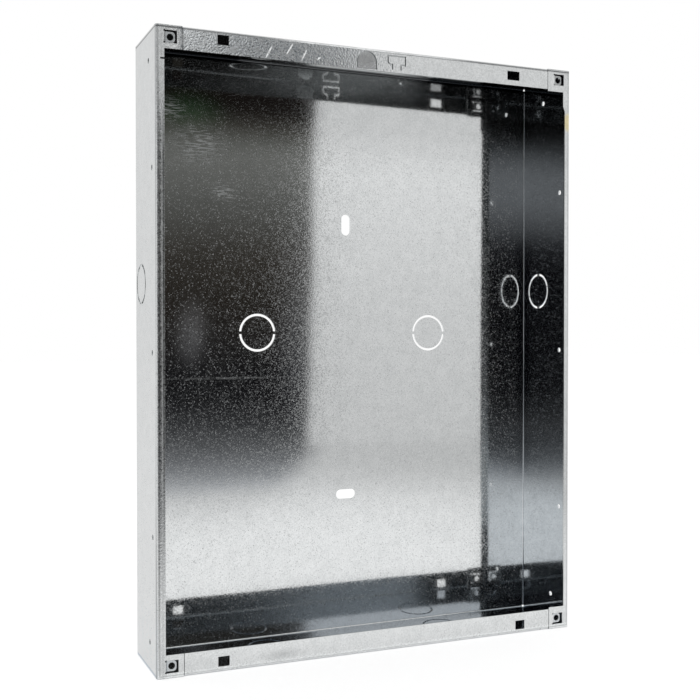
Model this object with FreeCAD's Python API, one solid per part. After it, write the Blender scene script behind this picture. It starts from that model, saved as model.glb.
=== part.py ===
import FreeCAD, Part
import math
import os

os.makedirs("parts", exist_ok=True)

# A flush back box: one galvanised sheet, folded into a tray that is open at the front.
# Millimetres. X runs across, Y from the open front to the back, Z up from the middle of the base.

# Overall sizes
width = 240.0
height = 320.0
depth = 48.0

# Sheet, folds and the open seams between the folded walls
sheet = 1.0
bend_inside = 0.6
seam_gap = 0.3
corner_relief = 0.1

# Front edges: flanges from the top and bottom walls, lips and corner tabs from the side walls
flange_width = 11.5
lip_width = 4.3
right_lip_width = 3.6
tab_width = 13.4
top_right_tab_extra = 1.6
tab_seam = 0.3
right_tab_step = 1.0
fold_relief = 1.0
root_lip_extra = 1.1
root_lip_length = 20.5
root_lip_taper = 3.0
lip_notch_inset = 16.5
lip_notch_height = 0.9
lip_notch_length = 2.0

# Recessed screw tags, lanced from the corner tabs
tag_inset_x = 7.5
tag_inset_z = 5.7
tag_window_width = 6.3
tag_window_height = 6.2
tag_slit = 0.5
tag_end_gap = 0.7
tag_recess = 1.4
tag_slope = 60.0
tag_end_radius = 1.6
tag_hole_d = 3.4
tag_root_relief_d = 1.0

# Clip holes in the flanges, each set in from its own side of the box and from its flange's fold
clip_hole_width = 5.9
clip_wide_hole_width = 7.8
clip_hole_height = 5.0
clip_inset_top_left = 34.0
clip_inset_top_right = 37.9
clip_inset_bottom_left = 33.8
clip_inset_bottom_right = 32.8
clip_edge_top_left = 4.6
clip_edge_top_right = 6.2
clip_edge_bottom_left = 5.2
clip_edge_bottom_right = 4.7

# Half-round flap, cut in the top flange and pressed in a little
flap_offset = -7.6
flap_width = 11.4
flap_fold_gap = 0.1
flap_root = 0.5
flap_slot = 0.5
flap_tilt = 5.0

# Tee tongue, cut in the top flange beside the flap
tee_offset = 9.6
tee_head_width = 9.4
tee_head_height = 3.7
tee_head_radius = 1.3
tee_stem_width = 4.2
tee_fold_gap = 0.8
tee_root = 1.4
tee_slot = 0.8

# Round conduit knock-outs
knock_out_d = 21.0
knock_out_slot = 1.3
knock_out_bridge = 1.6
knock_out_depth = 31.0
left_knock_out_depth = 34.0
knock_out_pitch = 106.0
back_knock_out_height = 170.0
side_knock_out_height = 195.0

# Screw slots in the back
slot_width = 5.4
slot_length = 11.9
upper_slot_height = 231.5
lower_slot_height = 77.6

# Small holes in the side walls
side_hole_d = 2.7
edge_hole_depth = 8.8
edge_hole_pitch = 91.5
left_corner_hole_inset = 14.5
left_corner_hole_depth = 16.0
right_top_hole_inset = 13.5
right_top_hole_depth = 26.0
right_bottom_hole_inset = 15.6
right_bottom_hole_depth = 17.0

# How far a cutting tool runs past the face that it cuts, and how near two places count as one
overrun = 1.0
near = 0.01

# Values that follow from the sizes above
V = FreeCAD.Vector
X_AXIS = V(1, 0, 0)
Y_AXIS = V(0, 1, 0)
Z_AXIS = V(0, 0, 1)
left = -width / 2
right = width / 2
front = -depth / 2
back = depth / 2
middle = height / 2
bend_outside = sheet + bend_inside
top_right_tab_width = tab_width + top_right_tab_extra


def block(low, high):
    """Block between two opposite corners."""
    return Part.makeBox(high.x - low.x, high.y - low.y, high.z - low.z, low)


def rounded_block(low, high, along, radius, back_only=False):
    """Block whose edges along one axis are rounded, all of them or only those at the back."""
    solid = block(low, high)
    centre_y = (low.y + high.y) / 2
    rounded = []
    for edge in solid.Edges:
        direction = edge.tangentAt(edge.FirstParameter)
        parallel = abs(direction.dot(along)) > 0.5
        if parallel and (edge.CenterOfMass.y > centre_y or not back_only):
            rounded.append(edge)
    return solid.makeFillet(radius, rounded)


def front_plate(points, y_low, y_high):
    """Plate of an outline given as X and Z pairs, between two depths."""
    corners = [V(x, y_low, z) for x, z in points]
    corners.append(corners[0])
    return Part.Face(Part.makePolygon(corners)).extrude(V(0, y_high - y_low, 0))


def folded_volume(inset, radius):
    """Space inside the sheet's outer skin, or inside its inner skin when inset by the sheet."""
    low = V(left + inset, front + inset, inset)
    high = V(right - inset, back - inset, height - inset)
    seam = tab_width + tab_seam / 2
    side_end = left + bend_outside
    flange_end = left + seam
    across = V(-2 * side_end, 0, 0)
    between = block(V(side_end, low.y, low.z), V(side_end, high.y, high.z) + across)
    sides = rounded_block(low, high, Z_AXIS, radius).cut(between).Solids
    flanges = rounded_block(V(flange_end, low.y, low.z), V(-flange_end, high.y, high.z), X_AXIS, radius)
    tabs = []
    for x_low, x_high in ((side_end, flange_end), (-flange_end, -side_end)):
        tab_low = V(x_low, low.y, low.z)
        tabs.append(rounded_block(tab_low, V(x_high, high.y, high.z), X_AXIS, radius, back_only=True))
    extra_low = V(-flange_end - top_right_tab_extra, low.y, high.z - 2 * bend_outside)
    tabs.append(block(extra_low, V(-flange_end, low.y + 2 * bend_outside, high.z)))
    return flanges.fuse(tabs + sides)


def mouth():
    """Front opening between the flanges, tabs and lips."""
    left_lip = left + lip_width
    right_lip = right - right_lip_width
    right_tab = right - tab_width
    top_right_tab = right - top_right_tab_width
    low_edge = flange_width
    high_edge = height - flange_width
    root_end = height - root_lip_length
    outline = [
        (left_lip, low_edge),
        (right_tab, low_edge),
        (right_tab, low_edge + right_tab_step),
        (right_lip, low_edge + right_tab_step),
        (right_lip, root_end - root_lip_taper),
        (right_lip - root_lip_extra, root_end),
        (right_lip - root_lip_extra, high_edge - right_tab_step),
        (top_right_tab, high_edge - right_tab_step),
        (top_right_tab, high_edge),
        (left_lip, high_edge),
    ]
    return front_plate(outline, front - overrun, front + sheet + overrun)


def tab_seams():
    """Cuts that part the flanges from the corner tabs, with a relief at the flange folds."""
    cuts = []
    reach = flange_width + right_tab_step + overrun
    y_end = front + bend_outside + fold_relief
    bottom = (-overrun, reach)
    top = (height - reach, height + overrun)
    left_seam = left + tab_width
    right_seam = right - tab_width - tab_seam
    top_right_seam = right - top_right_tab_width - tab_seam
    places = [(left_seam, bottom), (left_seam, top), (right_seam, bottom), (top_right_seam, top)]
    for x_low, (z_low, z_high) in places:
        low = V(x_low, front - overrun, z_low)
        cuts.append(block(low, V(x_low + tab_seam, y_end, z_high)))
    return cuts


def wall_seams(z_low, z_high, right_tab_width):
    """Open seams between the top or bottom wall and the side walls and tabs around it."""
    skin_low = V(left + sheet, front + sheet, z_low)
    skin_high = V(right - sheet, back - sheet, z_high)
    step = V(seam_gap, seam_gap, 0)
    space = rounded_block(skin_low, skin_high, Z_AXIS, bend_inside)
    wall = rounded_block(skin_low + step, skin_high - step, Z_AXIS, bend_inside)
    ring = space.cut(wall)
    left_end = left + tab_width + tab_seam
    right_end = right - right_tab_width - tab_seam
    y_end = back - sheet
    left_zone = block(V(left, front, z_low), V(left_end, y_end - seam_gap, z_high))
    right_zone = block(V(right_end, front, z_low), V(right, y_end - seam_gap, z_high))
    return [ring.common(left_zone), ring.common(right_zone)]


def corner_reliefs():
    """Square reliefs where two folds and a seam meet at each back corner."""
    cuts = []
    size = bend_outside + corner_relief
    for x_low, x_high in ((left - overrun, left + size), (right - size, right + overrun)):
        for z_low, z_high in ((-overrun, size), (height - size, height + overrun)):
            cuts.append(block(V(x_low, back - size, z_low), V(x_high, back + overrun, z_high)))
    return cuts


def knock_out(centre, normal, bridge_along):
    """Two arc slots round a blank that stays held by two bridges."""
    reach = sheet + overrun
    start = centre - normal * reach
    outer = knock_out_d / 2
    ring = Part.makeCylinder(outer, 2 * reach, start, normal)
    ring = ring.cut(Part.makeCylinder(outer - knock_out_slot, 2 * reach, start, normal))
    side = normal.cross(bridge_along)
    span = bridge_along * (outer + overrun)
    corner = normal * reach + span + side * (knock_out_bridge / 2)
    half = V(abs(corner.x), abs(corner.y), abs(corner.z))
    return ring.cut(block(centre - half, centre + half))


def knock_outs():
    """All knock-outs: a pair in the back, top and bottom walls and one in each side wall."""
    cuts = []
    y_wall = front + knock_out_depth
    for x in (-knock_out_pitch / 2, knock_out_pitch / 2):
        cuts.append(knock_out(V(x, back, back_knock_out_height), Y_AXIS, X_AXIS))
        cuts.append(knock_out(V(x, y_wall, 0), Z_AXIS, X_AXIS))
        cuts.append(knock_out(V(x, y_wall, height), Z_AXIS, X_AXIS))
    for x, from_front in ((left, left_knock_out_depth), (right, knock_out_depth)):
        cuts.append(knock_out(V(x, front + from_front, side_knock_out_height), X_AXIS, Z_AXIS))
    return cuts


def back_slot(z, along):
    """Round-ended screw slot through the back."""
    y_low = back - sheet - overrun
    reach = sheet + 2 * overrun
    radius = slot_width / 2
    run = along * ((slot_length - slot_width) / 2)
    side = Y_AXIS.cross(along) * radius
    half = V(abs(run.x) + abs(side.x), 0, abs(run.z) + abs(side.z))
    straight = block(V(0, y_low, z) - half, V(0, y_low + reach, z) + half)
    ends = [Part.makeCylinder(radius, reach, V(0, y_low, z) + end, Y_AXIS) for end in (run, -run)]
    return straight.fuse(ends)


def side_holes():
    """Small round holes in the two side walls."""
    edge_heights = [middle - edge_hole_pitch, middle, middle + edge_hole_pitch]
    left_places = [(edge_hole_depth, z) for z in edge_heights]
    right_places = list(left_places)
    left_places.append((left_corner_hole_depth, left_corner_hole_inset))
    left_places.append((left_corner_hole_depth, height - left_corner_hole_inset))
    right_places.append((right_bottom_hole_depth, right_bottom_hole_inset))
    right_places.append((right_top_hole_depth, height - right_top_hole_inset))
    cuts = []
    for x, places in ((left, left_places), (right, right_places)):
        for from_front, z in places:
            start = V(x - sheet - overrun, front + from_front, z)
            cuts.append(Part.makeCylinder(side_hole_d / 2, 2 * (sheet + overrun), start, X_AXIS))
    return cuts


def clip_holes():
    """Rectangular clip holes near the ends of both flanges."""
    places = [
        (left + clip_inset_bottom_left, clip_edge_bottom_left, clip_hole_width),
        (right - clip_inset_bottom_right, clip_edge_bottom_right, clip_hole_width),
        (left + clip_inset_top_left, height - clip_edge_top_left, clip_hole_width),
        (right - clip_inset_top_right, height - clip_edge_top_right, clip_wide_hole_width),
    ]
    cuts = []
    for x, z, hole_width in places:
        half = V(hole_width / 2, 0, clip_hole_height / 2)
        low = V(x, front - overrun, z) - half
        high = V(x, front + sheet + overrun, z) + half
        cuts.append(block(low, high))
    return cuts


def lip_notch():
    """Small notch that parts the left lip from the upper corner tab."""
    x_edge = left + lip_width
    z_low = height - lip_notch_inset - lip_notch_height / 2
    low = V(x_edge - lip_notch_length, front - overrun, z_low)
    return block(low, V(x_edge + overrun, front + sheet + overrun, z_low + lip_notch_height))


def arch(half_width, z_root, z_centre, y_low, y_high):
    """Plate with a half-round top and straight sides, about the flap's middle."""
    left_root = V(flap_offset - half_width, y_low, z_root)
    left_end = V(flap_offset - half_width, y_low, z_centre)
    crown = V(flap_offset, y_low, z_centre + half_width)
    right_end = V(flap_offset + half_width, y_low, z_centre)
    right_root = V(flap_offset + half_width, y_low, z_root)
    edges = [
        Part.makeLine(left_root, left_end),
        Part.Arc(left_end, crown, right_end).toShape(),
        Part.makeLine(right_end, right_root),
        Part.makeLine(right_root, left_root),
    ]
    return Part.Face(Part.Wire(edges)).extrude(V(0, y_high - y_low, 0))


def flap():
    """The flap's opening, and the blank that leans in from its root."""
    z_root = height - flange_width + flap_root
    z_centre = height - bend_outside - flap_fold_gap - flap_width / 2
    half_width = flap_width / 2
    opening = arch(half_width, z_root, z_centre, front - overrun, front + sheet + overrun)
    blank = arch(half_width - flap_slot, z_root, z_centre, front, front + sheet)
    blank.rotate(V(flap_offset, front, z_root), X_AXIS, -flap_tilt)
    return opening, blank


def tee_plate(grow, z_root, y_low, y_high):
    """Plate of the tee tongue, or of its opening when grown by the slot."""
    stem_left = tee_offset - tee_stem_width / 2 - grow
    stem_right = tee_offset + tee_stem_width / 2 + grow
    head_left = tee_offset - tee_head_width / 2 - grow
    head_right = tee_offset + tee_head_width / 2 + grow
    z_head = height - bend_outside - tee_fold_gap - tee_slot
    z_top = z_head + grow
    z_under = z_head - tee_head_height - grow
    arm = (tee_head_width - tee_stem_width) / 2
    radius = min(tee_head_radius, arm / 2, tee_head_height / 2) + grow
    chord = radius * math.sqrt(0.5)
    arc_start = V(head_left, y_low, z_under + radius)
    arc_middle = V(head_left + radius - chord, y_low, z_under + radius - chord)
    arc_end = V(head_left + radius, y_low, z_under)
    corners = [arc_end]
    for x, z in (
        (stem_left, z_under),
        (stem_left, z_root),
        (stem_right, z_root),
        (stem_right, z_under),
        (head_right, z_under),
        (head_right, z_top),
        (head_left, z_top),
    ):
        corners.append(V(x, y_low, z))
    corners.append(arc_start)
    edges = [Part.makeLine(a, b) for a, b in zip(corners, corners[1:])]
    edges.append(Part.Arc(arc_start, arc_middle, arc_end).toShape())
    return Part.Face(Part.Wire(edges)).extrude(V(0, y_high - y_low, 0))


def tee_slot_cut():
    """Slot round the tee tongue, open down to its root."""
    z_root = height - flange_width + tee_root
    y_low = front - overrun
    y_high = front + sheet + overrun
    opening = tee_plate(tee_slot, z_root, y_low, y_high)
    return opening.cut(tee_plate(0, z_root - overrun, y_low, y_high))


def tag_places():
    """Middle of each screw tag, in X and Z."""
    places = []
    for x in (left + tag_inset_x, right - tag_inset_x):
        for z in (tag_inset_z, height - tag_inset_z):
            places.append((x, z))
    return places


def tag_window(x, z):
    """Window of one screw tag."""
    half = V(tag_window_width / 2, 0, tag_window_height / 2)
    return block(V(x, front - overrun, z) - half, V(x, front + sheet + overrun, z) + half)


def tag_root_reliefs(x, z):
    """Round reliefs where the two slits beside a tag end at its root."""
    reliefs = []
    offset = (tag_window_height - tag_slit) / 2
    for z_slit in (z - offset, z + offset):
        start = V(x - tag_window_width / 2, front - overrun, z_slit)
        reliefs.append(Part.makeCylinder(tag_root_relief_d / 2, sheet + 2 * overrun, start, Y_AXIS))
    return reliefs


def tag(x, z):
    """Screw tag: steps back from the left edge of its window and carries the screw hole."""
    x_root = x - tag_window_width / 2
    x_flat = x_root + tag_recess / math.tan(math.radians(tag_slope))
    x_end = x + tag_window_width / 2 - tag_end_gap
    bend_shift = sheet * math.tan(math.radians(tag_slope / 2))
    half_width = tag_window_height / 2 - tag_slit
    outline = [
        V(x_root - sheet, front, 0),
        V(x_root, front, 0),
        V(x_flat, front + tag_recess, 0),
        V(x_end, front + tag_recess, 0),
        V(x_end, front + tag_recess + sheet, 0),
        V(x_flat - bend_shift, front + tag_recess + sheet, 0),
        V(x_root - bend_shift, front + sheet, 0),
        V(x_root - sheet, front + sheet, 0),
    ]
    outline.append(outline[0])
    strip = Part.Face(Part.makePolygon(outline)).extrude(V(0, 0, 2 * half_width))
    strip.translate(V(0, 0, z - half_width))
    ends = []
    for edge in strip.Edges:
        along_depth = abs(edge.tangentAt(edge.FirstParameter).dot(Y_AXIS)) > 0.5
        if along_depth and abs(edge.CenterOfMass.x - x_end) < near:
            ends.append(edge)
    strip = strip.makeFillet(min(tag_end_radius, half_width - near), ends)
    start = V(x, front, z)
    return strip.cut(Part.makeCylinder(tag_hole_d / 2, tag_recess + sheet + overrun, start, Y_AXIS))


def back_box():
    """The whole folded box."""
    body = folded_volume(0, bend_outside).cut(folded_volume(sheet, bend_inside)).removeSplitter()
    flap_opening, flap_blank = flap()
    cuts = [
        corner_reliefs(),
        [mouth()],
        tab_seams(),
        wall_seams(-overrun, sheet, tab_width),
        wall_seams(height - sheet, height + overrun, top_right_tab_width),
        [flap_opening, tee_slot_cut()],
        [lip_notch()],
        clip_holes(),
        knock_outs(),
        side_holes(),
        [back_slot(upper_slot_height, Z_AXIS), back_slot(lower_slot_height, X_AXIS)],
        [tag_window(x, z) for x, z in tag_places()],
    ]
    for tools in cuts:
        body = body.cut(tools).removeSplitter()
    body = body.fuse([flap_blank] + [tag(x, z) for x, z in tag_places()]).removeSplitter()
    for x, z in tag_places():
        body = body.cut(tag_root_reliefs(x, z)).removeSplitter()
    return body


box = back_box()
box.exportStep("parts/back_box.step")
print("solids", len(box.Solids), "valid", box.isValid(), "volume", round(box.Volume, 1))
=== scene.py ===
import bpy
import math
from collections import namedtuple
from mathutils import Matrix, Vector


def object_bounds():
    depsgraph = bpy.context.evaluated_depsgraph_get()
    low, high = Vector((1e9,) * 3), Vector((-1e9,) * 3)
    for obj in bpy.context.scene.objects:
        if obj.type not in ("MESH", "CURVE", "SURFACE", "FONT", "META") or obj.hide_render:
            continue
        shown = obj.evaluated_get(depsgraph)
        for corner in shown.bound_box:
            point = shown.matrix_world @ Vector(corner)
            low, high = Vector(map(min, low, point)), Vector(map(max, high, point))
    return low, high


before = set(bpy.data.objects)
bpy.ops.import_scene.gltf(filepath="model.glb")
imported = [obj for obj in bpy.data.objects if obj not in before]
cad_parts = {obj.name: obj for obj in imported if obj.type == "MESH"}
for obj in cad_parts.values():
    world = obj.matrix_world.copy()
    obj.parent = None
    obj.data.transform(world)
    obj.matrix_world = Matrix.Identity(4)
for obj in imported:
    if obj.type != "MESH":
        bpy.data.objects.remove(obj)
cad_low, cad_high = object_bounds()

# Lengths are in metres, in the frame of the solids: +Z up, -Y out of the open front

# Camera, fitted to the edges of the box
CAMERA_PLACE = Vector((-0.2357, -0.5339, 0.1694))
CAMERA_AIM = Vector((0.0004, 0.0177, 0.1602))
CAMERA_LENS_MM = 54.34
SENSOR_MM = 36.0

# Studio: white floor, and a wall of cards in front of the box that only its metal sees
FLOOR_HALF = 6.0
WALL_Y = -0.556
WALL_LEFT = -1.6
WALL_RIGHT = 1.6
WALL_TOP = 0.68
FAR_EDGE = -0.15
FLAG_TOP = 0.43
SOFTBOX_TOP = 0.53
SOFTBOX_EDGE_LOW = 0.201
SOFTBOX_EDGE_HIGH = 0.206
OVERHEAD_EDGE = 0.216
SWEEP_NEAR = -0.03
SWEEP_LIFT = 0.0005
SWEEP_SLANT = 0.56

# Light levels, where 1 is white
WORLD_SEEN = 1.0
WORLD_FILL = 0.45
FLOOR_GLOW = 0.66
FLOOR_COLOUR = (0.8, 0.8, 0.8, 1.0)
WHITE = (1.0, 1.0, 1.0, 1.0)
OVERHEAD_COLOUR = (0.236, 0.250, 0.263)
SOFTBOX_HIGH_COLOUR = (0.84, 0.84, 0.84)
CEILING_COLOUR = (0.30, 0.30, 0.30)

# Lamp over the box
KEY_POWER = 1.5
KEY_SIZE = 1.2
KEY_PLACE = (0.1, -0.2, 1.4)

# Floor's glow begins at the sides of the box and fills in over these widths, so the floor under the box has
# a painted shadow
FLOOR_SIDE_FADE = (0.114, 0.119)
FLOOR_DEPTH_FADE = (0.021, 0.024)

# Table's strength: how it dims towards the left and outward, and right of the box
TABLE_OUT_FADE = (0.10, 0.42)
TABLE_LEFT_NEAR = 0.78
TABLE_LEFT_FAR = 0.38
TABLE_LEFT_FADE = (-0.15, -0.08)
TABLE_RIGHT_FADE = (0.12, 0.25)
TABLE_RIGHT_LEVEL = 0.88
TABLE_SIDE_FADE = (-0.115, -0.08)

# What the dark side of the wall shows the metal, by height: grey surroundings over a table edge
FLAG_STOPS = [
    (0.000, (0.100, 0.103, 0.108)),
    (0.028, (0.032, 0.033, 0.035)),
    (0.056, (0.008, 0.008, 0.009)),
    (0.085, (0.006, 0.006, 0.007)),
    (0.111, (0.011, 0.010, 0.010)),
    (0.165, (0.018, 0.015, 0.012)),
    (0.219, (0.036, 0.032, 0.027)),
    (0.273, (0.096, 0.097, 0.091)),
    (0.327, (0.162, 0.164, 0.155)),
    (0.345, (0.120, 0.122, 0.112)),
    (0.362, (0.040, 0.037, 0.031)),
    (0.378, (0.008, 0.006, 0.005)),
    (0.430, (0.003, 0.003, 0.003)),
]

# Far left of the dark side, mirrored by the right wall and, through it, by the strip of panel beside it
FAR_STOPS = [
    (0.000, (0.060, 0.060, 0.062)),
    (0.028, (0.022, 0.022, 0.023)),
    (0.056, (0.004, 0.004, 0.005)),
    (0.111, (0.002, 0.002, 0.003)),
    (0.200, (0.002, 0.002, 0.003)),
    (0.235, (0.010, 0.010, 0.012)),
    (0.265, (0.114, 0.115, 0.118)),
    (0.295, (0.216, 0.218, 0.223)),
    (0.330, (0.191, 0.193, 0.197)),
    (0.355, (0.060, 0.062, 0.064)),
    (0.372, (0.008, 0.008, 0.008)),
    (0.390, (0.001, 0.001, 0.001)),
]

# Softbox, by height
SOFTBOX_STOPS = [
    (0.000, (0.700, 0.700, 0.700)),
    (0.050, (0.705, 0.705, 0.705)),
    (0.168, (0.765, 0.765, 0.765)),
    (0.226, (0.818, 0.818, 0.818)),
    (0.322, (0.900, 0.900, 0.900)),
    (0.347, (0.800, 0.800, 0.800)),
    (0.370, (0.710, 0.710, 0.710)),
]

# Table before the box as the metal sees it, by distance out: on the dark side and by the softbox; the
# dimmer first stop is a painted shadow at the foot of the box
TABLE_DARK_STOPS = [
    (0.03, (0.86, 0.86, 0.86)),
    (0.08, (1.00, 1.00, 1.00)),
    (0.19, (1.00, 1.00, 1.00)),
    (0.25, (0.90, 0.90, 0.90)),
    (0.32, (0.72, 0.72, 0.72)),
    (0.36, (0.47, 0.48, 0.50)),
    (0.403, (0.29, 0.30, 0.315)),
    (0.476, (0.165, 0.17, 0.18)),
    (0.556, (0.100, 0.103, 0.108)),
]
TABLE_LIT_STOPS = [
    (0.03, (0.86, 0.86, 0.86)),
    (0.08, (1.00, 1.00, 1.00)),
    (0.209, (1.00, 1.00, 1.00)),
    (0.277, (0.92, 0.92, 0.92)),
    (0.316, (0.84, 0.84, 0.84)),
    (0.358, (0.76, 0.76, 0.76)),
    (0.430, (0.71, 0.71, 0.71)),
    (0.556, (0.70, 0.70, 0.70)),
]

# Soft spots on the cards: place across, height, half width, half height, colour
FLAG_SPOTS = [
    (0.061, 0.130, 0.020, 0.044, (0.125, 0.125, 0.130)),
    (0.055, 0.372, 0.050, 0.022, (0.004, 0.028, 0.008)),
    (0.190, 0.150, 0.032, 0.160, (0.045, 0.047, 0.051)),
]
OVERHEAD_SPOTS = [
    (0.00, 0.480, 0.11, 0.09, (1.15, 1.15, 1.15)),
]

# Scratches on the top flange: place across, height, half length, half width, slant in degrees
SCRATCHES = [
    (-0.0620, 0.3122, 0.0046, 0.0005, -62.0),
    (-0.0508, 0.3148, 0.0042, 0.0005, -58.0),
    (-0.0430, 0.3124, 0.0040, 0.0005, -64.0),
    (-0.0348, 0.3116, 0.0014, 0.0006, -40.0),
]
SCRATCH_FADE = (0.0, 0.5)

# Rubbed line across the back panel, given in the same way, and how its breaks fade
RUBBED_LINE = (-0.068, 0.1452, 0.050, 0.0009, 0.0)
RUBBED_BREAKS = (260.0, 260.0, 700.0)
RUBBED_BREAK_FADE = (0.42, 0.56)
RUBBED_LEAST = 0.2
RUBBED_MOST = 1.4
RUBBED_OXIDE = 0.22

# Scuffed places on the back panel: place across, height, half width, half height
SCUFFS = [
    (-0.1040, 0.2890, 0.013, 0.008),
    (-0.0860, 0.2710, 0.019, 0.013),
    (-0.0725, 0.2465, 0.010, 0.007),
]
SCUFF_FADE = (0.48, 0.62)
SCUFF_OXIDE = 0.9

# Marks on the front: a stained patch on the bottom flange and a cream spot on the right lip, given in the
# same way
FLANGE_STAIN = (-0.0545, 0.0050, 0.014, 0.0036)
FLANGE_STAIN_SHARE = 0.24
LIP_CREAM_SPOT = (0.1186, 0.2905, 0.004, 0.0060)
LIP_CREAM_SPOT_FADE = (0.0, 0.4)
LIP_CREAM_SPOT_SHARE = 0.9

# Depth that a mark reaches through, far more than the box has
MARK_DEPTH = 10.0

# Zinc finish: sizes of its textures as repeats in a metre
GRAIN_SCALE = 1000.0
CELL_SCALE = 1900.0
SPANGLE_SCALE = 650.0
MOTTLE_SCALE = 160.0
WAVE_SCALE = 9.0
STREAK_SCALES = (170.0, 170.0, 1500.0)

# Faces by depth: each fade runs from where the face has no share to where it has all of it
FRONT_FADE = (-0.0233, -0.0237)
FOLDED_FADE = (-0.0222, -0.0227)
PANEL_FADE = (0.0222, 0.0227)
OFF_PANEL_FADE = (0.0227, 0.0222)
PANEL_INSIDE_FADE = (0.0237, 0.0233)

# Left lip, and the corner above it that leans with its top
LIP_FADE = (-0.1150, -0.1156)
CORNER_FADE = (-0.1070, -0.1130)
CORNER_LEAST = 0.4
CORNER_END_FADE = (-0.1060, -0.1066)
LIP_TOP_FADE = (0.255, 0.300)

# Lines down the left lip, by place across: two lines of painted shade, a broken one, a painted highlight
# line and a painted bright edge at the top
LIP_SHADE_LINES = (-0.1184, -0.1163)
LIP_BROKEN_SHADE_LINE = -0.1178
BREAK_SCALES = (40.0, 40.0, 700.0)
BREAK_FADE = (0.47, 0.53)
LIP_SHADE_HEIGHT_FADE = (0.055, 0.11)
LIP_LINE_SHADE = 0.6
LIP_HIGHLIGHT_LINE = -0.1171
LIP_HIGHLIGHT_EDGE = -0.1191
LIP_HIGHLIGHT_EDGE_LEVEL = 1.8
LIP_HIGHLIGHT_SHARE = 0.4
LINE_FADE = (0.0005, 0.0001)

# Spangle on the front: strong at the left end of the top flange, faint elsewhere
SPANGLE_FADE = (0.46, 0.60)
SPANGLE_OXIDE = 0.3
SPANGLE_HEIGHT_FADE = (0.03, 0.30)
SPANGLE_LOW = 0.1
SPANGLED_END_FADE = (-0.018, -0.034)
SPANGLE_RIGHT = 0.5
SPANGLE_LEFT = 1.3

# Specks of oxide: fewer at the foot, at the top and on the right wall
SPECK_LOW_FADE = (0.004, 0.05)
SPECK_LOW = 0.6
SPECK_HIGH_FADE = (0.295, 0.270)
SPECK_HIGH = 0.3
OFF_RIGHT_FADE = (0.117, 0.112)
OFF_RIGHT_LEAST = 0.15
FINE_SPECK_FADE = (0.7, 1.0)
FINE_SPECK_OXIDE = 0.04
BOLD_SPECK_FADE = (0.90, 1.0)
BOLD_SPECK_OXIDE = 0.5
STREAK_FADE = (0.64, 0.76)
STREAK_OXIDE = 0.07
MOST_OXIDE = 0.9

# Painted highlight in a ring round the left knock-out in the top: place across and in depth, and radius of
# the slot
KNOCK_OUT_PLACE = (-0.053, 0.007)
KNOCK_OUT_RADIUS = 0.0099
RING_FADE = (0.0014, 0.0010)
RING_HIGHLIGHT_SHARE = 0.6
RING_LOW_FADE = (0.3178, 0.3182)
RING_HIGH_FADE = (0.3196, 0.3193)

# Roughness of the sheet, its duller cells and the front, with least and most at each end of the flange
SHEET_ROUGH = 0.06
CELL_ROUGH_FADE = (0.55, 1.0)
CELL_ROUGH = 0.15
GRAIN_FADE = (0.3, 0.7)
FRONT_ROUGH_RIGHT = (0.11, 0.18)
FRONT_ROUGH_LEFT = (0.08, 0.24)
LIP_ROUGH = 0.14
FLANGE_BACK_ROUGH = 0.14

# Painted shade along each crease on the folds of the front, by distance in from the outline
CREASE_OUTER_FADE = (0.0008, 0.0012)
CREASE_INNER_FADE = (0.0018, 0.0013)
CREASE_SHADE = 0.32
CREASE_RIGHT_FADE = (0.0, 0.02)
CREASE_LOW_FADE = (0.15, 0.05)
RIM_FADE = (0.0004, 0.0001)
RIM_SHADE = 0.5
RIM_DEPTH_FADE = (-0.0205, -0.0215)

# Zinc colours by tone, and the shares of the mottle and the cells in the tone
ZINC_STOPS = [
    (0.3, (0.690, 0.707, 0.710)),
    (0.7, (0.795, 0.810, 0.813)),
]
MOTTLE_SHARE = 0.6
CELL_SHARE = 0.4
METAL_TINT = (0.78, 0.78, 0.78, 1.0)

# Plain colours that the zinc is carried towards: painted shade and the bottom flange's stained patch, a
# cream spot on the right lip, and painted slate-blue shade
DARK = (0.027, 0.030, 0.034, 1.0)
CREAM = (0.85, 0.74, 0.45, 1.0)
SLATE_SHADE = (0.42, 0.48, 0.55, 1.0)

# Shade at the upper fold of the panel and under the top, wider towards the ends
TOP_MIDDLE = -0.005
DARK_END_FADE = (0.035, 0.060)
FOLD_HEIGHT_FADE = (0.3176, 0.3182)
FOLD_DEPTH_FADE = (0.0212, 0.0218)
FOLD_SHADE = 0.85
WIDE_FOLD_FADE = (0.3165, 0.3175)
UNDER_TOP_FADE = (0.3184, 0.3188)
UNDER_TOP_END_FADE = (0.3195, 0.3192)
UNDER_TOP_SHADE = 0.75

# Shade behind the flanges, clear of the half-round flap
FLAP_MIDDLE = -0.0076
FLAP_FADE = (0.0058, 0.0062)
BEHIND_SHADE = 0.45
EDGE_DEPTH_FADE = (-0.0232, -0.0230)
EDGE_SHADE = 0.6
BEHIND_HEIGHT_FADE = (0.02, 0.30)
BEHIND_LOW = 0.2

# Painted slate-blue shade on the back of the bottom flange, the bottom wall and the right wall
LOW_BACK_FADE = (0.05, 0.02)
LOW_BACK_SLATE_SHADE = 0.35
BOTTOM_WALL_FADE = (0.0016, 0.0012)
BOTTOM_WALL_SLATE_SHADE = 0.75
RIGHT_WALL_FADE = (0.1184, 0.1188)
RIGHT_WALL_INSIDE_FADE = (0.1195, 0.1192)
RIGHT_WALL_SLATE_SHADE = 0.42

# Relief: heights of the grain and waves, and the slopes of the panel, the left lip's top and the scratches
GRAIN_HEIGHT = 0.00003
GRAIN_LEAST = 0.2
GRAIN_RIGHT = 2.0
GRAIN_LEFT = 3.0
WAVE_HEIGHT = 0.0004
PANEL_LEAN = 0.034
LIP_LEAN = 0.3
SCRATCH_LEAN = 0.45

# Sockets with the place on an object, whole and split, and with the share of each face or end
Place = namedtuple("Place", "whole across depth height")
Faces = namedtuple("Faces", "front off_folds flange_back panel lip lip_top spangled_end off_right")


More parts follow.
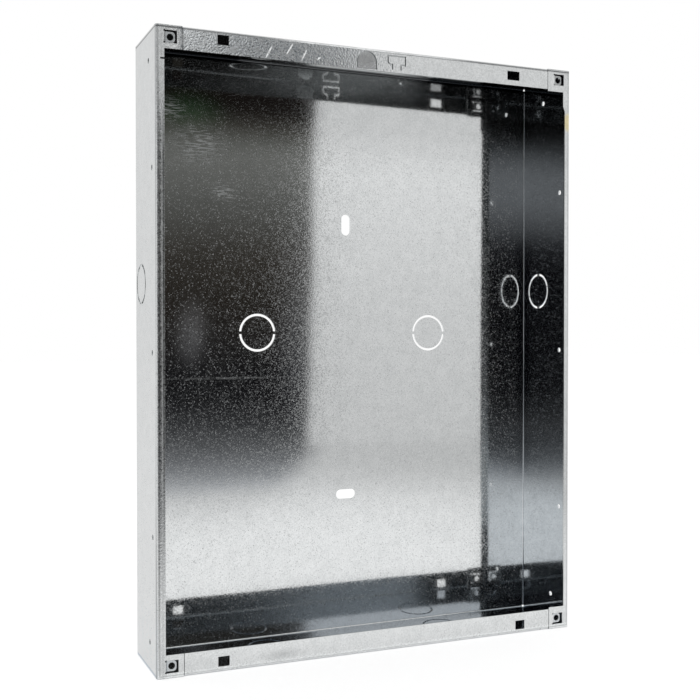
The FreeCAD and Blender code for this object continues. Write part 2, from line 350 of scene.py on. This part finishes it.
def new_nodes(material):
    """Empties a material's node tree and returns it with its output node."""
    material.use_nodes = True
    tree = material.node_tree
    tree.nodes.clear()
    return tree, tree.nodes.new("ShaderNodeOutputMaterial")


def feed(tree, socket, value):
    """Sets a socket to a number, or links it to another socket."""
    if isinstance(value, (int, float)):
        socket.default_value = value
    else:
        tree.links.new(value, socket)


def maths(tree, operation, first, second):
    """Socket with the result of one sum."""
    node = tree.nodes.new("ShaderNodeMath")
    node.operation = operation
    feed(tree, node.inputs[0], first)
    feed(tree, node.inputs[1], second)
    return node.outputs[0]


def gathered(tree, operation, values):
    """Socket with one sum carried on over several values."""
    result = values[0]
    for value in values[1:]:
        result = maths(tree, operation, result, value)
    return result


def product(tree, *values):
    """Socket with several values multiplied together."""
    return gathered(tree, "MULTIPLY", values)


def total(tree, *values):
    """Socket with several values added together."""
    return gathered(tree, "ADD", values)


def largest(tree, *values):
    """Socket with the largest of several values."""
    return gathered(tree, "MAXIMUM", values)


def smallest(tree, *values):
    """Socket with the smallest of several values."""
    return gathered(tree, "MINIMUM", values)


def without(tree, share):
    """Socket with what a share leaves of the whole."""
    return maths(tree, "SUBTRACT", 1.0, share)


def apart(tree, value, middle):
    """Socket with the distance of a value from a middle, whichever side it is on."""
    return maths(tree, "ABSOLUTE", maths(tree, "SUBTRACT", value, middle), 0.0)


def remap(tree, value, low, high, to_low=0.0, to_high=1.0):
    """Socket with a value carried from one range to another, kept within it."""
    node = tree.nodes.new("ShaderNodeMapRange")
    feed(tree, node.inputs["Value"], value)
    feed(tree, node.inputs["From Min"], low)
    feed(tree, node.inputs["From Max"], high)
    feed(tree, node.inputs["To Min"], to_low)
    feed(tree, node.inputs["To Max"], to_high)
    return node.outputs["Result"]


def object_place(tree):
    """Sockets with the place on the object."""
    whole = tree.nodes.new("ShaderNodeTexCoord").outputs["Object"]
    split = tree.nodes.new("ShaderNodeSeparateXYZ")
    tree.links.new(whole, split.inputs[0])
    return Place(whole, split.outputs["X"], split.outputs["Y"], split.outputs["Z"])


def noise(tree, at, scale, detail, stretch=(1.0, 1.0, 1.0)):
    """Socket with a smooth random value from 0 to 1."""
    mapping = tree.nodes.new("ShaderNodeMapping")
    mapping.inputs["Scale"].default_value = stretch
    tree.links.new(at.whole, mapping.inputs["Vector"])
    texture = tree.nodes.new("ShaderNodeTexNoise")
    texture.inputs["Scale"].default_value = scale
    texture.inputs["Detail"].default_value = detail
    tree.links.new(mapping.outputs[0], texture.inputs["Vector"])
    return texture.outputs["Fac"]


def cells(tree, at, scale):
    """Three sockets with random values from 0 to 1 that stay the same over each small cell."""
    texture = tree.nodes.new("ShaderNodeTexVoronoi")
    texture.inputs["Scale"].default_value = scale
    tree.links.new(at.whole, texture.inputs["Vector"])
    split = tree.nodes.new("ShaderNodeSeparateColor")
    tree.links.new(texture.outputs["Color"], split.inputs[0])
    return split.outputs[0], split.outputs[1], split.outputs[2]


def seen_rays(tree):
    """Socket that is 1 for camera, glossy and transmission rays, and 0 for others."""
    path = tree.nodes.new("ShaderNodeLightPath")
    rays = [path.outputs["Is %s Ray" % kind] for kind in ("Camera", "Glossy", "Transmission")]
    return smallest(tree, total(tree, *rays), 1.0)


def plane(name, corners, material):
    """Flat four-sided card, linked into the scene."""
    mesh = bpy.data.meshes.new(name)
    mesh.from_pydata(corners, [], [(0, 1, 2, 3)])
    card = bpy.data.objects.new(name, mesh)
    card.data.materials.append(material)
    bpy.context.scene.collection.objects.link(card)
    return card


def make_world():
    """White surroundings, dimmer where they only fill in the shade."""
    world = bpy.data.worlds.new("studio")
    bpy.context.scene.world = world
    world.use_nodes = True
    tree = world.node_tree
    tree.nodes.clear()
    output = tree.nodes.new("ShaderNodeOutputWorld")
    background = tree.nodes.new("ShaderNodeBackground")
    background.inputs["Color"].default_value = WHITE
    level = remap(tree, seen_rays(tree), 0.0, 1.0, WORLD_FILL, WORLD_SEEN)
    tree.links.new(level, background.inputs["Strength"])
    tree.links.new(background.outputs[0], output.inputs["Surface"])


def added(tree, first, second):
    """Socket with two shaders added together."""
    both = tree.nodes.new("ShaderNodeAddShader")
    tree.links.new(first, both.inputs[0])
    tree.links.new(second, both.inputs[1])
    return both.outputs[0]


def make_floor():
    """White floor that keeps the shadow of the box."""
    material = bpy.data.materials.new("studio_floor")
    tree, output = new_nodes(material)
    at = object_place(tree)
    diffuse = tree.nodes.new("ShaderNodeBsdfDiffuse")
    diffuse.inputs["Color"].default_value = FLOOR_COLOUR
    glow = tree.nodes.new("ShaderNodeEmission")
    # no glow under the box: a painted shadow beneath it
    beyond_side = remap(tree, apart(tree, at.across, 0.0), *FLOOR_SIDE_FADE, 0.0, FLOOR_GLOW)
    beyond_depth = remap(tree, apart(tree, at.depth, 0.0), *FLOOR_DEPTH_FADE, 0.0, FLOOR_GLOW)
    open_floor = largest(tree, beyond_side, beyond_depth)
    tree.links.new(product(tree, seen_rays(tree), open_floor), glow.inputs["Strength"])
    tree.links.new(added(tree, diffuse.outputs[0], glow.outputs[0]), output.inputs["Surface"])
    half = FLOOR_HALF
    corners = [(-half, -half, 0), (half, -half, 0), (half, half, 0), (-half, half, 0)]
    plane("studio_floor", corners, material)


def ramp(tree, value, stops):
    """Socket with a colour that follows a value; stops run from 0 to 1."""
    node = tree.nodes.new("ShaderNodeValToRGB")
    points = node.color_ramp.elements
    while len(points) < len(stops):
        points.new(1.0)
    for point, (position, colour) in zip(points, stops):
        point.position = position
        point.color = (*colour, 1.0)
    tree.links.new(value, node.inputs["Fac"])
    return node.outputs["Color"]


def hide_card(card):
    """Keeps a card out of the camera's sight and from casting a shadow."""
    card.visible_camera = False
    card.visible_diffuse = False
    card.visible_shadow = False


def local_fade(tree, at, x, z, half_x, half_z, slant=0.0):
    """Socket that fades from 1 at a place to 0 round an ellipse about it, seen from the front."""
    mapping = tree.nodes.new("ShaderNodeMapping")
    mapping.vector_type = "TEXTURE"
    mapping.inputs["Location"].default_value = (x, 0.0, z)
    mapping.inputs["Rotation"].default_value = (0.0, math.radians(slant), 0.0)
    mapping.inputs["Scale"].default_value = (half_x, MARK_DEPTH, half_z)
    tree.links.new(at.whole, mapping.inputs["Vector"])
    fade = tree.nodes.new("ShaderNodeTexGradient")
    fade.gradient_type = "SPHERICAL"
    tree.links.new(mapping.outputs[0], fade.inputs["Vector"])
    return fade.outputs["Fac"]


def marks_over(tree, at, marks):
    """Socket with the strongest of several marks at each place."""
    return largest(tree, *[local_fade(tree, at, *mark) for mark in marks])


def glow_card(name, corners, shades, spots=()):
    """Card that only the metal sees; shades are one plain colour, or a list of stops by height."""
    material = bpy.data.materials.new(name)
    tree, output = new_nodes(material)
    at = object_place(tree)
    glow = tree.nodes.new("ShaderNodeEmission")
    if isinstance(shades, tuple):
        glow.inputs["Color"].default_value = (*shades, 1.0)
    else:
        tree.links.new(ramp(tree, at.height, shades), glow.inputs["Color"])
    light = glow.outputs[0]
    for x, z, half_width, half_height, colour in spots:
        spot = tree.nodes.new("ShaderNodeEmission")
        spot.inputs["Color"].default_value = (*colour, 1.0)
        tree.links.new(local_fade(tree, at, x, z, half_width, half_height), spot.inputs["Strength"])
        light = added(tree, light, spot.outputs[0])
    tree.links.new(light, output.inputs["Surface"])
    hide_card(plane(name, corners, material))


def wall_corners(low, high, left, right):
    """Corners of a piece of the wall; left and right are pairs of places at its foot and top."""
    y = WALL_Y
    return [(left[0], y, low), (right[0], y, low), (right[1], y, high), (left[1], y, high)]


def make_cards():
    """Dark side, softbox and ceiling in front of the box."""
    edge = (SOFTBOX_EDGE_LOW, SOFTBOX_EDGE_HIGH)
    over_edge = (OVERHEAD_EDGE, OVERHEAD_EDGE)
    far_left = (WALL_LEFT, WALL_LEFT)
    near_left = (FAR_EDGE, FAR_EDGE)
    far_right = (WALL_RIGHT, WALL_RIGHT)
    glow_card("far_side", wall_corners(0.0, FLAG_TOP, far_left, near_left), FAR_STOPS)
    glow_card("dark_side", wall_corners(0.0, FLAG_TOP, near_left, edge), FLAG_STOPS, FLAG_SPOTS)
    glow_card("softbox_low", wall_corners(0.0, FLAG_TOP, edge, far_right), SOFTBOX_STOPS)
    over_left = wall_corners(FLAG_TOP, SOFTBOX_TOP, far_left, over_edge)
    glow_card("overhead", over_left, OVERHEAD_COLOUR, OVERHEAD_SPOTS)
    over_right = wall_corners(FLAG_TOP, SOFTBOX_TOP, over_edge, far_right)
    glow_card("softbox_high", over_right, SOFTBOX_HIGH_COLOUR)
    glow_card("ceiling", wall_corners(SOFTBOX_TOP, WALL_TOP, far_left, far_right), CEILING_COLOUR)


def make_sweep():
    """Table in front of the box as the metal sees it, dim further out on the dark side."""
    material = bpy.data.materials.new("table_sweep")
    tree, output = new_nodes(material)
    at = object_place(tree)
    outward = product(tree, at.depth, -1.0)
    dark = tree.nodes.new("ShaderNodeEmission")
    tree.links.new(ramp(tree, outward, TABLE_DARK_STOPS), dark.inputs["Color"])
    dimmed = remap(tree, outward, *TABLE_OUT_FADE, TABLE_LEFT_NEAR, TABLE_LEFT_FAR)
    tree.links.new(remap(tree, at.across, *TABLE_LEFT_FADE, dimmed, 1.0), dark.inputs["Strength"])
    lit = tree.nodes.new("ShaderNodeEmission")
    tree.links.new(ramp(tree, outward, TABLE_LIT_STOPS), lit.inputs["Color"])
    lit_level = remap(tree, at.across, *TABLE_RIGHT_FADE, 1.0, TABLE_RIGHT_LEVEL)
    tree.links.new(lit_level, lit.inputs["Strength"])
    slanted = maths(tree, "SUBTRACT", at.across, product(tree, outward, SWEEP_SLANT))
    both = tree.nodes.new("ShaderNodeMixShader")
    tree.links.new(remap(tree, slanted, *TABLE_SIDE_FADE), both.inputs[0])
    tree.links.new(dark.outputs[0], both.inputs[1])
    tree.links.new(lit.outputs[0], both.inputs[2])
    tree.links.new(both.outputs[0], output.inputs["Surface"])
    ends = [(WALL_LEFT, WALL_Y), (WALL_RIGHT, WALL_Y), (WALL_RIGHT, SWEEP_NEAR), (WALL_LEFT, SWEEP_NEAR)]
    corners = [(x, y, SWEEP_LIFT) for x, y in ends]
    hide_card(plane("table_sweep", corners, material))


def make_key():
    """Soft light from above that gives the floor its shadow."""
    light = bpy.data.lights.new("key", "AREA")
    light.energy = KEY_POWER
    light.size = KEY_SIZE
    key = bpy.data.objects.new("key", light)
    key.location = KEY_PLACE
    key.visible_camera = False
    key.visible_glossy = False
    bpy.context.scene.collection.objects.link(key)


def make_camera():
    """Camera at the photograph's angle."""
    data = bpy.data.cameras.new("camera")
    data.lens = CAMERA_LENS_MM
    data.sensor_width = SENSOR_MM
    camera = bpy.data.objects.new("camera", data)
    camera.location = CAMERA_PLACE
    camera.rotation_euler = (CAMERA_AIM - CAMERA_PLACE).to_track_quat("-Z", "Y").to_euler()
    bpy.context.scene.collection.objects.link(camera)
    bpy.context.scene.camera = camera


def bump(tree, height, distance, normal=None):
    """Socket with the normal of a relief, over another normal where one is given."""
    node = tree.nodes.new("ShaderNodeBump")
    node.inputs["Distance"].default_value = distance
    tree.links.new(height, node.inputs["Height"])
    if normal:
        tree.links.new(normal, node.inputs["Normal"])
    return node.outputs["Normal"]


def leant(tree, share, first, second):
    """Socket with a normal carried towards another by a share; a mix node's vectors are 4 and 5."""
    node = tree.nodes.new("ShaderNodeMix")
    node.data_type = "VECTOR"
    tree.links.new(share, node.inputs[0])
    tree.links.new(first, node.inputs[4])
    tree.links.new(second, node.inputs[5])
    return node.outputs[1]


def mixed(tree, share, first, colour):
    """Socket with a colour carried towards a plain one by a share; a mix node's colours are 6 and 7."""
    node = tree.nodes.new("ShaderNodeMix")
    node.data_type = "RGBA"
    tree.links.new(share, node.inputs[0])
    tree.links.new(first, node.inputs[6])
    node.inputs[7].default_value = colour
    return node.outputs[2]


def line_down(tree, at, x):
    """Socket with a thin soft line up and down the object."""
    return remap(tree, apart(tree, at.across, x), *LINE_FADE)


def find_faces(tree, at):
    """Sockets with the share of each face or end whose finish differs."""
    front = remap(tree, at.depth, *FRONT_FADE)
    folded = remap(tree, at.depth, *FOLDED_FADE)
    panel = product(tree, remap(tree, at.depth, *PANEL_FADE), remap(tree, at.depth, *PANEL_INSIDE_FADE))
    lip = product(tree, front, remap(tree, at.across, *LIP_FADE))
    corner = product(tree, front, remap(tree, at.across, *CORNER_FADE, CORNER_LEAST, 1.0))
    lip_top = product(
        tree,
        corner,
        remap(tree, at.height, *LIP_TOP_FADE),
        remap(tree, at.across, *CORNER_END_FADE),
    )
    return Faces(
        front=front,
        off_folds=without(tree, folded),
        flange_back=maths(tree, "SUBTRACT", folded, front),
        panel=panel,
        lip=lip,
        lip_top=lip_top,
        spangled_end=remap(tree, at.across, *SPANGLED_END_FADE),
        off_right=remap(tree, at.across, *OFF_RIGHT_FADE, OFF_RIGHT_LEAST, 1.0),
    )


def lip_shade_lines(tree, at, faces):
    """Socket with the painted shade lines down the left lip, which stop short of its ends."""
    dashes = remap(tree, noise(tree, at, 1.0, 1.0, BREAK_SCALES), *BREAK_FADE)
    broken = product(tree, line_down(tree, at, LIP_BROKEN_SHADE_LINE), dashes)
    lines = largest(tree, broken, *[line_down(tree, at, x) for x in LIP_SHADE_LINES])
    upward = remap(tree, at.height, *LIP_SHADE_HEIGHT_FADE)
    return product(tree, lines, faces.front, upward, without(tree, faces.lip_top))


def lip_highlights(tree, at, faces):
    """Socket with the painted highlight line down the left lip and the painted bright edge of its top."""
    highlight_line = product(tree, line_down(tree, at, LIP_HIGHLIGHT_LINE), faces.front)
    highlight_edge = product(tree, line_down(tree, at, LIP_HIGHLIGHT_EDGE), faces.lip_top, LIP_HIGHLIGHT_EDGE_LEVEL)
    return largest(tree, highlight_line, highlight_edge)


def front_spangle(tree, at, faces):
    """Socket with the oxide of the spangle on the front."""
    flecks = remap(tree, noise(tree, at, SPANGLE_SCALE, 1.0), *SPANGLE_FADE, 0.0, SPANGLE_OXIDE)
    upward = remap(tree, at.height, *SPANGLE_HEIGHT_FADE, SPANGLE_LOW, 1.0)
    along = remap(tree, faces.spangled_end, 0.0, 1.0, SPANGLE_RIGHT, SPANGLE_LEFT)
    return product(tree, flecks, upward, along, faces.front)


def speck_share(tree, at, faces):
    """Socket with how many specks the metal has at each place."""
    low = remap(tree, at.height, *SPECK_LOW_FADE, SPECK_LOW, 1.0)
    high = remap(tree, at.height, *SPECK_HIGH_FADE, SPECK_HIGH, 1.0)
    return product(tree, smallest(tree, low, high), faces.off_right)


def rubbed_line(tree, at, faces):
    """Socket with the broken line rubbed across the back panel."""
    breaks = noise(tree, at, 1.0, 1.0, RUBBED_BREAKS)
    kept = remap(tree, breaks, *RUBBED_BREAK_FADE, RUBBED_LEAST, RUBBED_MOST)
    return product(tree, local_fade(tree, at, *RUBBED_LINE), faces.panel, kept)


def top_ring_highlight(tree, at):
    """Socket with the painted highlight of the ring round a knock-out, on the underside of the top."""
    ring_x = maths(tree, "SUBTRACT", at.across, KNOCK_OUT_PLACE[0])
    ring_y = maths(tree, "SUBTRACT", at.depth, KNOCK_OUT_PLACE[1])
    squares = total(tree, maths(tree, "POWER", ring_x, 2.0), maths(tree, "POWER", ring_y, 2.0))
    radius = maths(tree, "SQRT", squares, 0.0)
    ring = remap(tree, apart(tree, radius, KNOCK_OUT_RADIUS), *RING_FADE, 0.0, RING_HIGHLIGHT_SHARE)
    return product(
        tree,
        ring,
        remap(tree, at.height, *RING_LOW_FADE),
        remap(tree, at.height, *RING_HIGH_FADE),
    )


def bare_share(tree, at, faces, specks, white):
    """Socket with the share of bare metal left by the oxide and the painted highlights; white is a random
    value for each cell.
    """
    streak = noise(tree, at, 1.0, 2.0, STREAK_SCALES)
    scuffed = product(tree, marks_over(tree, at, SCUFFS), faces.panel)
    # oxide, with the painted highlights down the left lip and round the knock-out ring added in
    oxide = total(
        tree,
        product(tree, remap(tree, white, *FINE_SPECK_FADE, 0.0, FINE_SPECK_OXIDE), specks),
        front_spangle(tree, at, faces),
        product(tree, remap(tree, streak, *STREAK_FADE, 0.0, STREAK_OXIDE), faces.off_right),
        product(tree, rubbed_line(tree, at, faces), RUBBED_OXIDE),
        product(tree, scuffed, remap(tree, streak, *SCUFF_FADE, 0.0, SCUFF_OXIDE)),
        product(tree, lip_highlights(tree, at, faces), LIP_HIGHLIGHT_SHARE),
        top_ring_highlight(tree, at),
        product(tree, remap(tree, white, *BOLD_SPECK_FADE, 0.0, BOLD_SPECK_OXIDE), specks),
    )
    return without(tree, smallest(tree, oxide, MOST_OXIDE))


def roughness(tree, faces, specks, dull, grain):
    """Socket with the roughness: smooth sheet with dull cells, a grained front and duller folds."""
    dull_cells = product(tree, remap(tree, dull, *CELL_ROUGH_FADE, 0.0, CELL_ROUGH), specks)
    sheet = total(tree, dull_cells, SHEET_ROUGH)
    least = remap(tree, faces.spangled_end, 0.0, 1.0, FRONT_ROUGH_RIGHT[0], FRONT_ROUGH_LEFT[0])
    most = remap(tree, faces.spangled_end, 0.0, 1.0, FRONT_ROUGH_RIGHT[1], FRONT_ROUGH_LEFT[1])
    front = product(tree, remap(tree, grain, *GRAIN_FADE, least, most), faces.front)
    return total(
        tree,
        largest(tree, sheet, front),
        product(tree, faces.lip, LIP_ROUGH),
        product(tree, faces.flange_back, FLANGE_BACK_ROUGH),
    )


def painted_crease_shade(tree, at, faces):
    """Socket with painted shade along each crease of the front: a soft line a little way in, and a thin one
    along its edge.
    """
    from_end = smallest(tree, at.height, maths(tree, "SUBTRACT", cad_high[2], at.height))
    from_side = maths(tree, "SUBTRACT", cad_high[0], apart(tree, at.across, 0.0))
    inward = smallest(tree, from_end, from_side)
    right_half = remap(tree, at.across, *CREASE_RIGHT_FADE)
    low_or_right = largest(tree, remap(tree, at.height, *CREASE_LOW_FADE), right_half)
    line = smallest(tree, remap(tree, inward, *CREASE_OUTER_FADE), remap(tree, inward, *CREASE_INNER_FADE))
    line = product(tree, line, faces.front, CREASE_SHADE, low_or_right)
    rim = remap(tree, inward, *RIM_FADE, 0.0, RIM_SHADE)
    rim = product(tree, rim, low_or_right, remap(tree, at.depth, *RIM_DEPTH_FADE))
    return largest(tree, line, rim)


def top_shade(tree, at, faces):
    """Socket with the shade at the upper fold of the panel and under the top."""
    dark_end = remap(tree, apart(tree, at.across, TOP_MIDDLE), *DARK_END_FADE)
    fold = product(
        tree,
        remap(tree, at.height, *FOLD_HEIGHT_FADE, 0.0, FOLD_SHADE),
        remap(tree, at.depth, *FOLD_DEPTH_FADE),
    )
    wide_fold = product(tree, remap(tree, at.height, *WIDE_FOLD_FADE), faces.panel, dark_end)
    under_top = product(
        tree,
        remap(tree, at.height, *UNDER_TOP_FADE),
        remap(tree, at.height, *UNDER_TOP_END_FADE, 0.0, UNDER_TOP_SHADE),
        dark_end,
    )
    return largest(tree, fold, wide_fold, under_top)


def behind_shade(tree, at, faces):
    """Socket with the shade behind the flanges, fainter low down and lifted at the half-round flap."""
    off_flap = remap(tree, apart(tree, at.across, FLAP_MIDDLE), *FLAP_FADE, 0.0, BEHIND_SHADE)
    near_edge = remap(tree, at.depth, *EDGE_DEPTH_FADE, 0.0, EDGE_SHADE)
    upward = remap(tree, at.height, *BEHIND_HEIGHT_FADE, BEHIND_LOW, 1.0)
    return product(tree, faces.flange_back, largest(tree, off_flap, near_edge), upward)


def slate_shade_share(tree, at, faces):
    """Socket with the share of painted slate-blue shade low in the box and on the inside of the right wall.
    """
    low_back = product(
        tree,
        faces.flange_back,
        remap(tree, at.height, *LOW_BACK_FADE, 0.0, LOW_BACK_SLATE_SHADE),
    )
    bottom_wall = product(
        tree,
        remap(tree, at.height, *BOTTOM_WALL_FADE, 0.0, BOTTOM_WALL_SLATE_SHADE),
        remap(tree, at.depth, *OFF_PANEL_FADE),
        faces.off_folds,
    )
    right_wall = product(
        tree,
        remap(tree, at.across, *RIGHT_WALL_FADE, 0.0, RIGHT_WALL_SLATE_SHADE),
        remap(tree, at.across, *RIGHT_WALL_INSIDE_FADE),
        faces.off_folds,
    )
    return largest(tree, low_back, bottom_wall, right_wall)


def metal_colour(tree, at, faces, cell_tone):
    """Socket with pale grey zinc, its faint mottle, and the painted shade, painted slate-blue shade,
    stained patch and cream spot over it.
    """
    mottle = noise(tree, at, MOTTLE_SCALE, 3.0)
    tone = total(tree, product(tree, mottle, MOTTLE_SHARE), product(tree, cell_tone, CELL_SHARE))
    zinc = mixed(tree, slate_shade_share(tree, at, faces), ramp(tree, tone, ZINC_STOPS), SLATE_SHADE)
    # painted shade at the top fold, behind the flanges, along each crease and down the left lip, with the
    # bottom flange's stained patch
    shade = largest(
        tree,
        top_shade(tree, at, faces),
        behind_shade(tree, at, faces),
        painted_crease_shade(tree, at, faces),
        product(tree, lip_shade_lines(tree, at, faces), LIP_LINE_SHADE),
        product(tree, local_fade(tree, at, *FLANGE_STAIN), faces.front, FLANGE_STAIN_SHARE),
    )
    cream_spot = remap(tree, local_fade(tree, at, *LIP_CREAM_SPOT), *LIP_CREAM_SPOT_FADE, 0.0, LIP_CREAM_SPOT_SHARE)
    return mixed(tree, product(tree, cream_spot, faces.front), mixed(tree, shade, zinc, DARK), CREAM)


def relief(tree, at, faces, grain):
    """Socket with the normal: slow waves, the leans of the panel and lip, fine grain and scratches."""
    wavy = bump(tree, noise(tree, at, WAVE_SCALE, 1.0), WAVE_HEIGHT)
    leaning = leant(tree, faces.panel, wavy, bump(tree, at.height, PANEL_LEAN, wavy))
    outward = bump(tree, product(tree, at.across, -1.0), LIP_LEAN, leaning)
    turned = leant(tree, faces.lip_top, leaning, outward)
    front_grain = remap(tree, faces.spangled_end, 0.0, 1.0, GRAIN_RIGHT, GRAIN_LEFT)
    coarseness = total(tree, product(tree, faces.front, front_grain), GRAIN_LEAST)
    grained = bump(tree, product(tree, grain, coarseness), GRAIN_HEIGHT, turned)
    sloped = bump(tree, product(tree, at.height, -1.0), SCRATCH_LEAN, turned)
    scratch = remap(tree, marks_over(tree, at, SCRATCHES), *SCRATCH_FADE)
    return leant(tree, product(tree, scratch, faces.front), grained, sloped)


def galvanised_steel():
    """Rolled zinc finish: a soft mirror with fine grain, flecks and a few marks, with painted shade and
    painted highlights in its colour.
    """
    material = bpy.data.materials.new("galvanised_steel")
    tree, output = new_nodes(material)
    at = object_place(tree)
    faces = find_faces(tree, at)
    grain = noise(tree, at, GRAIN_SCALE, 1.0)
    cell_dull, cell_white, cell_tone = cells(tree, at, CELL_SCALE)
    specks = speck_share(tree, at, faces)
    metal = tree.nodes.new("ShaderNodeBsdfPrincipled")
    metal.inputs["Specular Tint"].default_value = METAL_TINT
    tree.links.new(metal_colour(tree, at, faces, cell_tone), metal.inputs["Base Color"])
    tree.links.new(bare_share(tree, at, faces, specks, cell_white), metal.inputs["Metallic"])
    tree.links.new(roughness(tree, faces, specks, cell_dull, grain), metal.inputs["Roughness"])
    tree.links.new(relief(tree, at, faces, grain), metal.inputs["Normal"])
    tree.links.new(metal.outputs[0], output.inputs["Surface"])
    return material


bpy.context.scene.view_settings.view_transform = "Standard"
make_world()
make_floor()
make_cards()
make_sweep()
make_key()
make_camera()

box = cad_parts["back_box"]
box.data.materials.clear()
box.data.materials.append(galvanised_steel())
